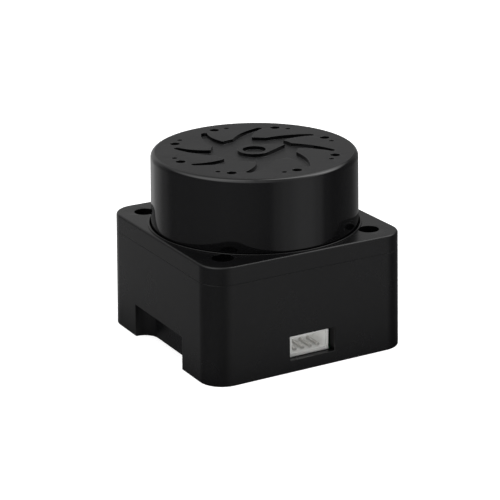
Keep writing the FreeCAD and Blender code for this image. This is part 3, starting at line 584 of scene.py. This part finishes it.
def moulded(name, colour, rough, level=0.5, grain=0.12, grain_mm=0.18, wear=0.25):
    """Moulded plastic: spark-eroded grain, slow cloudiness in its gloss, and rubbed high spots."""
    look = Look(name, colour, rough, 0.0, level)
    cloud = look.noise(90, 4)
    fine = look.noise(1 / (grain_mm * MM), 2)
    rubbed = look.noise(420, 6)
    gloss = look.spread(cloud, rough * 0.9, rough * 1.1)
    polish = look.spread(rubbed, 0.0, wear, 0.6, 0.8)
    lighter = tuple(c * 1.1 + 0.0003 for c in colour)
    look.feed(Roughness=look.math("SUBTRACT", gloss, look.math("MULTIPLY", polish, rough)),
              Base_Color=look.mix(look.spread(rubbed, 0, 1, 0.45, 0.75), colour, lighter))
    look.bump(fine, grain, 0.02 * MM)
    return look.material


def nylon(name):
    """Pale nylon with painted light: a painted shade darkens the rim, and a paler, faintly glowing inside is
    painted light standing in for light that comes through the thin walls.
    """
    # painted shade and painted light: the rim colour is darker and the inside colour paler, for how light
    # falls on the socket
    rim, inside = (0.6, 0.6, 0.585), (0.86, 0.86, 0.845)
    look = Look(name, inside, 0.42, 0.0, 0.4)
    face = span("socket_shell")[0].y
    # this mask carries the painted light, from the darker rim to the paler inside
    depth = look.spread(look.axis("Y"), 0.0, 1.0, (face + 0.05) * MM, (face + 0.35) * MM)
    cloud = look.noise(300, 4)
    paler = look.mix(cloud, inside, tuple(c * 0.93 for c in inside))
    # painted glow: the inside also emits a little light, though it is no lamp
    look.feed(Roughness=look.spread(cloud, 0.36, 0.5), Base_Color=look.mix(depth, rim, paler),
              Emission_Strength=look.math("MULTIPLY", depth, 0.07))
    look.shader.inputs["Emission Color"].default_value = (1.0, 1.0, 0.98, 1)
    look.bump(look.noise(1 / (0.12 * MM), 2), 0.06, 0.02 * MM)
    return look.material


def head_plastic():
    """The cap's dark infrared plastic: polished side and edge round, and a fine satin on the flat top."""
    side_rough, top_rough = 0.05, 0.5
    dark, satin = (0.003, 0.003, 0.0034), (0.0045, 0.0045, 0.0049)
    look = Look("head_plastic", dark, side_rough, 0.0, 0.5)
    facing = look.split(look.add("ShaderNodeNewGeometry").outputs["Normal"])
    level = look.spread(facing["Z"], 0.0, 1.0, 0.93, 0.985)
    high = look.spread(look.axis("Z"), 0.0, 1.0, (TOTAL_H - 1.1) * MM, (TOTAL_H - 1.0) * MM)
    top = look.math("MULTIPLY", level, high)
    cloud = look.noise(110, 4)
    smear = look.noise(260, 5, (1, 1, 0.25))
    side_gloss = look.spread(smear, side_rough * 0.7, side_rough * 1.5)
    top_gloss = look.spread(cloud, top_rough * 0.92, top_rough * 1.1)
    fleck = look.spread(look.noise(900, 6), 0, 1, 0.35, 0.65)
    texture = look.mix(fleck, tuple(c * 0.9 for c in satin), tuple(c * 1.15 for c in satin))
    look.feed(Roughness=look.between(top, side_gloss, top_gloss), Base_Color=look.mix(top, dark, texture))
    look.bump(look.math("MULTIPLY", look.noise(1 / (0.16 * MM), 2), top), 0.1, 0.02 * MM)
    return look.material


def metal(name, colour, rough, stretch=(1, 1, 14), streak=900, wear=0.12):
    """Bare metal with fine machining streaks and small differences in tarnish."""
    look = Look(name, colour, rough, 1.0)
    streaks = look.noise(streak, 3, stretch)
    tarnish = look.noise(240, 5)
    darker = tuple(c * (1 - 2 * wear) for c in colour)
    look.feed(Roughness=look.spread(streaks, rough * 0.75, rough * 1.3),
              Base_Color=look.mix(look.spread(tarnish, 0, 1), colour, darker))
    look.bump(streaks, 0.15, 0.01 * MM)
    return look.material


def laminate(name):
    """Circuit board: green solder mask over slightly raised tracks, and a weave that shows at its edge."""
    look = Look(name, (0.006, 0.075, 0.032), 0.3)
    tracks = look.add("ShaderNodeTexBrick", offset=0.5, squash=1.0)
    look.link(look.where, tracks.inputs["Vector"])
    for key, value in (("Scale", 520), ("Mortar Size", 0.06), ("Mortar Smooth", 0.3), ("Bias", 0.0)):
        tracks.inputs[key].default_value = value
    weave = look.noise(2600, 2)
    look.feed(Base_Color=look.mix(tracks.outputs["Fac"], (0.005, 0.055, 0.024), (0.012, 0.14, 0.06)),
              Roughness=look.spread(weave, 0.24, 0.4))
    look.bump(look.math("ADD", tracks.outputs["Fac"], look.math("MULTIPLY", weave, 0.2)), 0.25, 0.03 * MM)
    return look.material


def wound_wire(name):
    """Enamelled copper: warm lacquer with darker gaps and small changes from turn to turn."""
    look = Look(name, (0.62, 0.24, 0.09), 0.28, 1.0)
    turns = look.noise(1500, 2, (1, 1, 4))
    look.feed(Base_Color=look.mix(look.spread(turns, 0, 1), (0.68, 0.28, 0.11), (0.4, 0.13, 0.045)),
              Roughness=look.spread(turns, 0.2, 0.4))
    look.shader.inputs["Coat Weight"].default_value = 0.6
    look.bump(turns, 0.2, 0.02 * MM)
    return look.material


def sintered(name, colour, rough):
    """Fired ceramic or ferrite: speckled, dull, faintly pitted."""
    look = Look(name, colour, rough)
    speck = look.noise(3800, 4)
    paler = tuple(c * 1.6 + 0.01 for c in colour)
    look.feed(Base_Color=look.mix(look.spread(speck, 0, 1, 0.4, 0.65), colour, paler),
              Roughness=look.spread(speck, rough * 0.85, min(1.0, rough * 1.2)))
    look.bump(speck, 0.3, 0.02 * MM)
    return look.material


def optical(name, tint, rough):
    """Coated glass: clear with a faint tint and a trace of dust."""
    look = Look(name, tint, rough)
    look.shader.inputs["Transmission Weight"].default_value = 0.9
    look.shader.inputs["IOR"].default_value = 1.52
    dust = look.noise(1800, 5)
    look.feed(Roughness=look.spread(dust, rough, rough + 0.12, 0.55, 0.8))
    return look.material


LOOKS = {
    "housing_plastic": moulded("housing_plastic", (0.003, 0.003, 0.0034), 0.28, 0.38, 0.05, wear=0.03),
    "head_plastic": head_plastic(),
    "socket_nylon": nylon("socket_nylon"),
    "board_laminate": laminate("board_laminate"),
    "chip_epoxy": moulded("chip_epoxy", (0.014, 0.014, 0.015), 0.6, 0.4, 0.3, 0.06),
    "part_ceramic": sintered("part_ceramic", (0.32, 0.24, 0.15), 0.45),
    "tinned_contact": metal("tinned_contact", (0.74, 0.73, 0.71), 0.3, (1, 10, 1)),
    "brass_insert": metal("brass_insert", (0.72, 0.52, 0.22), 0.28, (1, 1, 1), 2400),
    "dark_steel": metal("dark_steel", (0.035, 0.035, 0.038), 0.38, (1, 1, 1), 1600),
    "bright_steel": metal("bright_steel", (0.6, 0.6, 0.61), 0.2),
    "bell_steel": metal("bell_steel", (0.42, 0.42, 0.44), 0.3, (1, 1, 20)),
    "core_steel": metal("core_steel", (0.2, 0.2, 0.21), 0.4, (1, 1, 40), 1400),
    "copper_wire": wound_wire("copper_wire"),
    "ferrite": sintered("ferrite", (0.035, 0.035, 0.037), 0.6),
    "magnet": metal("magnet", (0.5, 0.5, 0.52), 0.25, (1, 1, 1), 1200),
    "liner_plastic": moulded("liner_plastic", (0.5, 0.47, 0.4), 0.5, 0.4, 0.1),
    "inner_plastic": moulded("inner_plastic", (0.012, 0.012, 0.013), 0.5, 0.4, 0.25),
    "lens_glass": optical("lens_glass", (0.82, 0.88, 0.92), 0.02),
    "filter_glass": optical("filter_glass", (0.35, 0.03, 0.04), 0.05),
}


# ---------------------------------------------------------------- the pieces
def around(half_at_zero, radius, rows):
    """Outlines of the drafted base for (z, inset) rows."""
    return [(base_outline(half_at_zero - DRAFT * z - inset, radius - inset), z) for z, inset in rows]


def edge_rows(z, size, up, steps=LIP_STEPS):
    """(z, inset) rows of a quarter round that ends a wall at height z."""
    rows = [(z - up * size * s, size * c) for s, c in quarter_round(steps)]
    return rows if up > 0 else rows[::-1]


def lower_housing():
    shell = Shell()
    rows = edge_rows(0, FOOT_ROUND, -1) + [(z, 0.0) for z in (WINDOW_Z0, NOTCH_H, WINDOW_Z1)]
    rows += edge_rows(SEAM_Z, SEAM_ROUND, 1)
    heights = [z for z, _ in rows]
    outlines = around(FOOT_HALF, CORNER_R, rows)
    loops = [shell.loop(outline, z) for outline, z in outlines]
    notch_at = len(outlines[0][0]) - ARC_STEPS - 3
    for low, high, z0, z1 in zip(loops, loops[1:], heights, heights[1:]):
        skip = set()
        if WINDOW_Z0 <= z0 and z1 <= WINDOW_Z1:
            skip.add(0)
        if z1 <= NOTCH_H:
            skip.add(notch_at)
        shell.bridge(low, high, skip)
    # the notch's wall and ceiling
    walls = []
    for (outline, z), loop in zip(outlines, loops):
        if z <= NOTCH_H:
            inner = notch_path(-outline[notch_at][0])[1:-1]
            walls.append([loop[notch_at]] + shell.loop(inner, z) + [loop[notch_at + 1]])
    for low, high in zip(walls, walls[1:]):
        shell.bridge(low, high, closed=False)
    shell.fill(walls[-1])
    # the board bay, open to the window
    bay = bay_outline(0, True, (-WINDOW_HALF, WINDOW_HALF))
    bay_rows = [0.0, WINDOW_Z0, NOTCH_H, WINDOW_Z1, WEB_Z0]
    bay_loops = [shell.loop(bay, z) for z in bay_rows]
    for low, high, z0, z1 in zip(bay_loops, bay_loops[1:], bay_rows, bay_rows[1:]):
        shell.bridge(low, high, {0} if WINDOW_Z0 <= z0 and z1 <= WINDOW_Z1 else ())
    outer, inner = dict(zip(heights, loops)), dict(zip(bay_rows, bay_loops))
    for z0, z1 in ((WINDOW_Z0, NOTCH_H), (NOTCH_H, WINDOW_Z1)):
        for side in (0, 1):
            shell.faces.append((outer[z0][side], inner[z0][side], inner[z1][side], outer[z1][side]))
    for z in (WINDOW_Z0, WINDOW_Z1):
        shell.faces.append((outer[z][0], outer[z][1], inner[z][1], inner[z][0]))
    # underside, with the bores for the threaded inserts
    first = loops[0]
    foot = first[:notch_at + 1] + walls[0][1:-1] + first[notch_at + 1:]
    bores = [shell.turned([(INSERT_R, 0), (INSERT_R, INSERT_DEPTH)], 48, centre) for centre in CORNERS]
    shell.fill(foot, bay_loops[0], *(low for low, _ in bores))
    for _, high in bores:
        shell.fill(high)
    # middle floor, motor bay, ledge and rim
    low, high = shell.turned([(TUBE_R, WEB_Z0), (TUBE_R, WEB_Z1)], 96)
    shell.fill(bay_loops[-1], low)
    motor_bay = bay_outline(0, False)
    bay_low, bay_high = shell.stack([(motor_bay, WEB_Z1), (motor_bay, POST_TOP)])
    shell.fill(bay_low, high)
    post_edge = POST_AT - math.sqrt(POST_R ** 2 - (BAY_HALF - POST_AT) ** 2)
    rebate = rounded_square(BAY_HALF, BAY_R, stop=post_edge)
    ledge, rim = shell.stack([(rebate, POST_TOP), (rebate, SEAM_Z)])
    shell.fill(bay_high, ledge)
    shell.fill(rim, loops[-1])

    def on_face(a, b):
        """Whether the edge from a to b is at the mouth of the window or the notch, on an outer face."""
        near, slack = 0.05, 0.01
        window = all(abs(p.y + FOOT_HALF - DRAFT * p.z) < near and abs(p.x) < WINDOW_HALF + slack
                     and WINDOW_Z0 - slack < p.z < WINDOW_Z1 + slack for p in (a, b))
        notch = all(abs(p.x + FOOT_HALF - DRAFT * p.z) < near and abs(p.y) < NOTCH_HALF + slack
                    and p.z < NOTCH_H + slack for p in (a, b))
        return window or notch and max(a.z, b.z) > FOOT_ROUND + slack

    shell.build("lower_housing_shell", "base", "housing_plastic", ["lower_housing"],
                bevel={"where": on_face, "width": MOUTH_ROUND})


def upper_cover():
    shell = Shell()
    rows = edge_rows(SEAM_Z, SEAM_ROUND, -1) + edge_rows(BASE_H, TOP_ROUND, 1, 7)
    bottom, top = shell.stack(around(FOOT_HALF, CORNER_R, rows))
    skirt_z, skirt_half = SEAM_Z - SKIRT_DEPTH, BAY_HALF - SKIRT_GAP
    skirt_out, skirt_in = rounded_square(skirt_half, BAY_R), rounded_square(skirt_half - SKIRT_WALL, SKIRT_R)
    low, high = shell.stack([(skirt_out, SEAM_Z), (skirt_out, skirt_z)])
    shell.fill(bottom, low)
    foot, inner = shell.stack([(skirt_in, skirt_z), (skirt_in, SEAM_Z)])
    shell.fill(high, foot)
    # the raised lip, the well with its two grooves, and the opening for the bearing tube
    crest, lip_r, soft = BASE_H + WELL_LIP_H, WELL_R + WELL_LIP_W, WELL_LIP_ROUND
    profile = [(lip_r, BASE_H)] + [(lip_r - soft * c, crest - soft * s) for s, c in quarter_round(4)]
    profile += [(WELL_R + soft * s, crest - soft * c) for s, c in quarter_round(4)] + [(WELL_R, WELL_Z)]
    for (near, far), z in ((FLANGE_GROOVE, FLANGE_GROOVE_Z), (COIL_GROOVE, COIL_GROOVE_Z)):
        profile += [(far, WELL_Z), (far, z), (near, z), (near, WELL_Z)]
    rim, opening = shell.turned(profile + [(OPENING_R, WELL_Z), (OPENING_R, SEAM_Z)])
    bosses, cutters = [], []
    for centre in CORNERS:
        boss_low, boss_high = shell.turned([(BOSS_R, POST_TOP), (BOSS_R, SEAM_Z)], 48, centre)
        shell.fill(boss_low)
        bosses.append(boss_high)
        cutter = Shell()
        cut = [(COUNTERBORE_R + COUNTERBORE_ROUND, BASE_H + 0.01)]
        cut += [(COUNTERBORE_R + COUNTERBORE_ROUND * s, BASE_H - COUNTERBORE_ROUND * c)
                for s, c in quarter_round()]
        cut += [(COUNTERBORE_R, COUNTERBORE_Z), (SCREW_HOLE_R, COUNTERBORE_Z), (SCREW_HOLE_R, POST_TOP - 1)]
        above, below = cutter.turned(cut, 64, centre)
        cutter.fill(above)
        cutter.fill(below)
        cutters.append(cutter)
    shell.fill(top, rim)
    shell.fill(inner, opening, *bosses)
    shell.build("upper_cover_shell", "base", "housing_plastic", ["upper_cover"], cutters=cutters)


def head_cover():
    shell = Shell()
    profile = [(HEAD_BORE_R - CEILING_CHAMFER, HEAD_CEILING_Z),
               (HEAD_BORE_R, HEAD_CEILING_Z - CEILING_CHAMFER),
               (HEAD_BORE_R, HEAD_FOOT_Z + BORE_CHAMFER), (HEAD_BORE_R + BORE_CHAMFER, HEAD_FOOT_Z)]
    profile += [(HEAD_FOOT_R - HEAD_FOOT_ROUND * s, HEAD_FOOT_Z + HEAD_FOOT_ROUND * c)
                for s, c in quarter_round()]
    profile += [(HEAD_TOP_R - HEAD_ROUND * c, TOTAL_H - HEAD_ROUND * s) for s, c in quarter_round(12)]
    ceiling, top = shell.turned(profile)
    shell.fill(ceiling)
    dimples = [circle(DIMPLE_R, 40, polar(DIMPLE_CIRCLE_R, 360 / VANES * i)) for i in range(VANES)]
    dots = [circle(DOT_R, 28, polar(DOT_CIRCLE_R, 360 / VANES * i - DOT_LAG)) for i in range(VANES)]
    small = [shell.sunk(dimple, TOTAL_H, DIMPLE_DEPTH, DIMPLE_LIP, DIMPLE_FILLET) for dimple in dimples]
    small += [shell.sunk(dot, TOTAL_H, DOT_DEPTH, DOT_LIP, DOT_LIP) for dot in dots]
    for _, floor in small:
        shell.fill(floor)
    relief = (TOTAL_H, RELIEF_DEPTH, RELIEF_LIP, RELIEF_FILLET)
    rim, floor = shell.sunk(pocket_outline(), *relief)
    shell.fill(top, rim, *(edge for edge, _ in small))
    hub_rim, hub_floor = shell.sunk(drop_outline(), *relief, -1.0)
    shell.fill(floor, hub_floor)
    hole_rim, hole_floor = shell.sunk(circle(HUB_HOLE_R, 96), *relief)
    shell.fill(hub_rim, hole_rim)
    shell.fill(hole_floor)
    shell.build("head_cap", "head", "head_plastic", ["head_cover"])


def bottom_cover():
    shell = Shell()
    outline = bay_outline(PLATE_GAP, True)
    low, high = shell.stack([(offset(outline, -PLATE_ROUND), PLATE_Z0), (outline, PLATE_Z0 + PLATE_ROUND),
                             (outline, PLATE_Z1)])
    pockets = [(rounded_square(PANEL_HALF, PANEL_R, 8), PANEL_DEPTH)]
    pockets += [(stadium(sx * (SLOT_AT + SLOT_PITCH * i), 0, SLOT_HALF_WIDTH, SLOT_HALF_LENGTH), SLOT_DEPTH)
                for sx in (-1, 1) for i in range(3)]
    rims, pads = [], []
    for shape, depth in pockets:
        rim, floor = shell.stack([(offset(shape, PANEL_ROUND), PLATE_Z0), (shape, PLATE_Z0 + PANEL_ROUND),
                                  (shape, PLATE_Z0 + depth)])
        shell.fill(floor)
        rims.append(rim)
    for centre in PILLARS:
        rim, pad = shell.turned([(SINK_R, PLATE_Z0), (PLATE_HOLE_R, SINK_Z), (PLATE_HOLE_R, PAD_Z),
                                 (PAD_R, PAD_Z), (PAD_R, PLATE_Z1)], 40, centre)
        rims.append(rim)
        pads.append(pad)
    shell.fill(low, *rims)
    shell.fill(high, *pads)
    shell.build("bottom_plate", "base", "housing_plastic", ["bottom_cover"])


def every_edge(_a, _b):
    return True


def socket_body():
    low, high = span("socket_shell")
    half, cavity_half, cavity_back = high.x, high.x - SOCKET_WALL, high.y - SOCKET_BACK
    xs = [-half, -cavity_half, cavity_half, half]
    ys = [low.y, cavity_back, high.y]
    zs = [low.z, low.z + SOCKET_WALL, high.z - SOCKET_WALL, high.z]

    def walled(x, y, z):
        return not (abs(x) < cavity_half and zs[1] < z < zs[2] and y < cavity_back)

    blocks(xs, ys, zs, walled).build("socket_body", "base", "socket_nylon", ["socket_shell"],
                                     bevel={"where": every_edge, "width": SOCKET_ROUND})


def socket_contacts():
    low, high = span("socket_pins")
    ys = [low.y] + [high.y - back for back in PIN_BEND] + [high.y]
    zs = [low.z, low.z + PIN_FOOT, high.z - 2 * PIN_HALF, high.z]

    def bent(_x, y, z):
        return (z > zs[2] and y < ys[2]) or ys[1] < y < ys[2] or (z < zs[1] and y > ys[1])

    pins = Shell()
    for i in range(PIN_COUNT):
        x = PIN_PITCH * (i - (PIN_COUNT - 1) / 2)
        blocks([x - PIN_HALF, x + PIN_HALF], ys, zs, bent, pins)
    pins.build("socket_contacts", "base", "tinned_contact", ["socket_pins"],
               bevel={"where": every_edge, "width": PIN_ROUND})


def dress_cad_nodes():
    """Every CAD node gets the look of its slot."""
    slots = {part["node"]: part["material_slot"] for part in frame["record"]["subparts"]}
    for name, node in frame["nodes"].items():
        node.data.materials.clear()
        node.data.materials.append(LOOKS[slots[name]])


# ---------------------------------------------------------------- camera, floor and light
def camera():
    azimuth, elevation, roll = math.radians(-29.605), math.radians(19.338), math.radians(-0.494)
    aim, distance = Vector((-0.76, 0.43, 15.22)) * MM, 324.2 * MM
    back = Vector((math.sin(azimuth) * math.cos(elevation), -math.cos(azimuth) * math.cos(elevation),
                   math.sin(elevation)))
    data = bpy.data.cameras.new("camera")
    data.lens, data.sensor_width = 133.9, 36.0
    data.clip_start, data.clip_end = 0.01, 20.0
    view = bpy.data.objects.new("camera", data)
    bpy.context.scene.collection.objects.link(view)
    view.rotation_mode = "QUATERNION"
    view.location = aim + back * distance
    view.rotation_quaternion = back.to_track_quat("Z", "Y") @ Quaternion((0, 0, 1), roll)
    bpy.context.scene.camera = view


def flat_sheet(name, corners, look):
    """A flat sheet; corners are in metres."""
    mesh = bpy.data.meshes.new(name)
    mesh.from_pydata(corners, [], [tuple(range(len(corners)))])
    mesh.materials.append(look.material)
    sheet = bpy.data.objects.new(name, mesh)
    bpy.context.scene.collection.objects.link(sheet)
    return sheet


def floor():
    """A plain pale floor; it shows white from above, clear from below, and the plastic doesn't mirror it."""
    size, brightness = 3.0, 0.72
    look = Look("floor_paper", (0.8, 0.8, 0.8), 0.9, 0.0, 0.1)
    look.shader.inputs["Emission Color"].default_value = (1, 1, 1, 1)
    look.shader.inputs["Emission Strength"].default_value = brightness
    look.feed(Roughness=look.spread(look.noise(60, 3), 0.85, 0.95))
    below = look.add("ShaderNodeNewGeometry").outputs["Backfacing"]
    look.end_in(below, look.shader.outputs[0], look.add("ShaderNodeBsdfTransparent").outputs[0])
    corners = [(-size, -size, 0), (size, -size, 0), (size, size, 0), (-size, size, 0)]
    flat_sheet("floor", corners, look).visible_glossy = False


def contact_shade():
    """A painted shadow: a dark sheet that dims the ground close to the foot, as the plastic mirrors it, less
    on the -X side; nothing else sees this sheet.
    """
    reach, fade, depth, below = 90.0, 17.0, 0.7, 0.2
    notch_side_shade, notch_reach = 0.35, 1.4 * FOOT_HALF
    look = Look("contact_shade", (0.0, 0.0, 0.0), 1.0, 0.0, 0.0)
    east, north = look.math("ABSOLUTE", look.axis("X")), look.math("ABSOLUTE", look.axis("Y"))
    across = look.math("MAXIMUM", east, north)
    away = look.math("MAXIMUM", look.math("SUBTRACT", across, FOOT_HALF * MM), 0.0)
    falling = look.math("EXPONENT", look.math("MULTIPLY", away, -1 / (fade * MM)))
    # the painted shadow is weaker on the -X side, where the notch is
    side = look.spread(look.axis("X"), notch_side_shade, 1.0, -notch_reach * MM, -FOOT_HALF * MM)
    # veil: how much painted shadow darkens the mirrored ground
    veil = look.math("MULTIPLY", falling, look.math("MULTIPLY", side, depth))
    look.feed(Roughness=look.spread(look.noise(60, 3), 0.95, 1.0))
    look.end_in(veil, look.add("ShaderNodeBsdfTransparent").outputs[0], look.shader.outputs[0])
    rim = [(x * MM, y * MM, -below * MM) for x, y in circle(reach, 48)]
    sheet = flat_sheet("contact_shade", rim, look)
    sheet.visible_camera = sheet.visible_diffuse = sheet.visible_shadow = sheet.visible_transmission = False


# brightness of the room by bearing in degrees, where 0 is -Y and 90 is +X
WALLS = [(-180, 0.68), (-167, 0.47), (-147, 0.25), (-132, 0.14), (-119, 0.175), (-107, 0.2), (-86, 0.235),
         (-62, 0.27), (-40, 0.25), (-14, 0.19), (-5, 0.35), (4, 0.47), (23, 0.63), (33, 0.6), (44, 0.43),
         (55, 0.15), (68, 0.085), (100, 0.1), (128, 0.2), (145, 0.38), (160, 0.5), (180, 0.68)]
CEILING = [(-180, 0.6), (-155, 0.9), (-133, 1.9), (-109, 2.8), (-83, 2.7), (-54, 1.8), (-22, 1.0), (8, 0.6),
           (36, 0.7), (52, 1.3), (66, 2.9), (84, 4.6), (110, 2.2), (140, 0.8), (180, 0.6)]


def studio():
    """White for the eye; for the plastic, a dim room that changes with the bearing and the height."""
    world = bpy.data.worlds.new("studio")
    bpy.context.scene.world = world
    world.use_nodes = True
    room = Nodes(world.node_tree)
    room.tree.nodes.clear()
    where = room.split(room.add("ShaderNodeTexCoord").outputs["Generated"])
    bearing = room.math("ARCTAN2", where["X"], room.math("MULTIPLY", where["Y"], -1))
    around_room = room.spread(bearing, 0.0, 1.0, -math.pi, math.pi)

    def panorama(stops):
        """Brightness by bearing; a colour ramp holds it as a share of the brightest."""
        brightest = max(level for _, level in stops)
        node = room.add("ShaderNodeValToRGB")
        node.color_ramp.interpolation = "EASE"
        ramp = node.color_ramp.elements
        while len(ramp) < len(stops):
            ramp.new(0.5)
        for element, (degrees, level) in zip(ramp, stops):
            element.position = (degrees + 180) / 360
            share = level / brightest
            element.color = (share, share, share, 1)
        room.link(around_room, node.inputs["Fac"])
        return room.math("MULTIPLY", node.outputs["Color"], brightest)

    ceiling_from, ceiling_full = 0.42, 0.72
    overhead = room.spread(where["Z"], 0.0, 1.0, ceiling_from, ceiling_full, "SMOOTHSTEP")
    mirrored = room.between(overhead, panorama(WALLS), panorama(CEILING))
    seen = room.between(room.add("ShaderNodeLightPath").outputs["Is Camera Ray"], mirrored, 1.0)
    light = room.add("ShaderNodeBackground")
    room.link(seen, light.inputs["Strength"])
    room.link(light.outputs[0], room.add("ShaderNodeOutputWorld").inputs["Surface"])
    bpy.context.scene.view_settings.view_transform = "Standard"


camera()
dress_cad_nodes()
lower_housing()
upper_cover()
head_cover()
bottom_cover()
socket_body()
socket_contacts()
floor()
contact_shade()
studio()
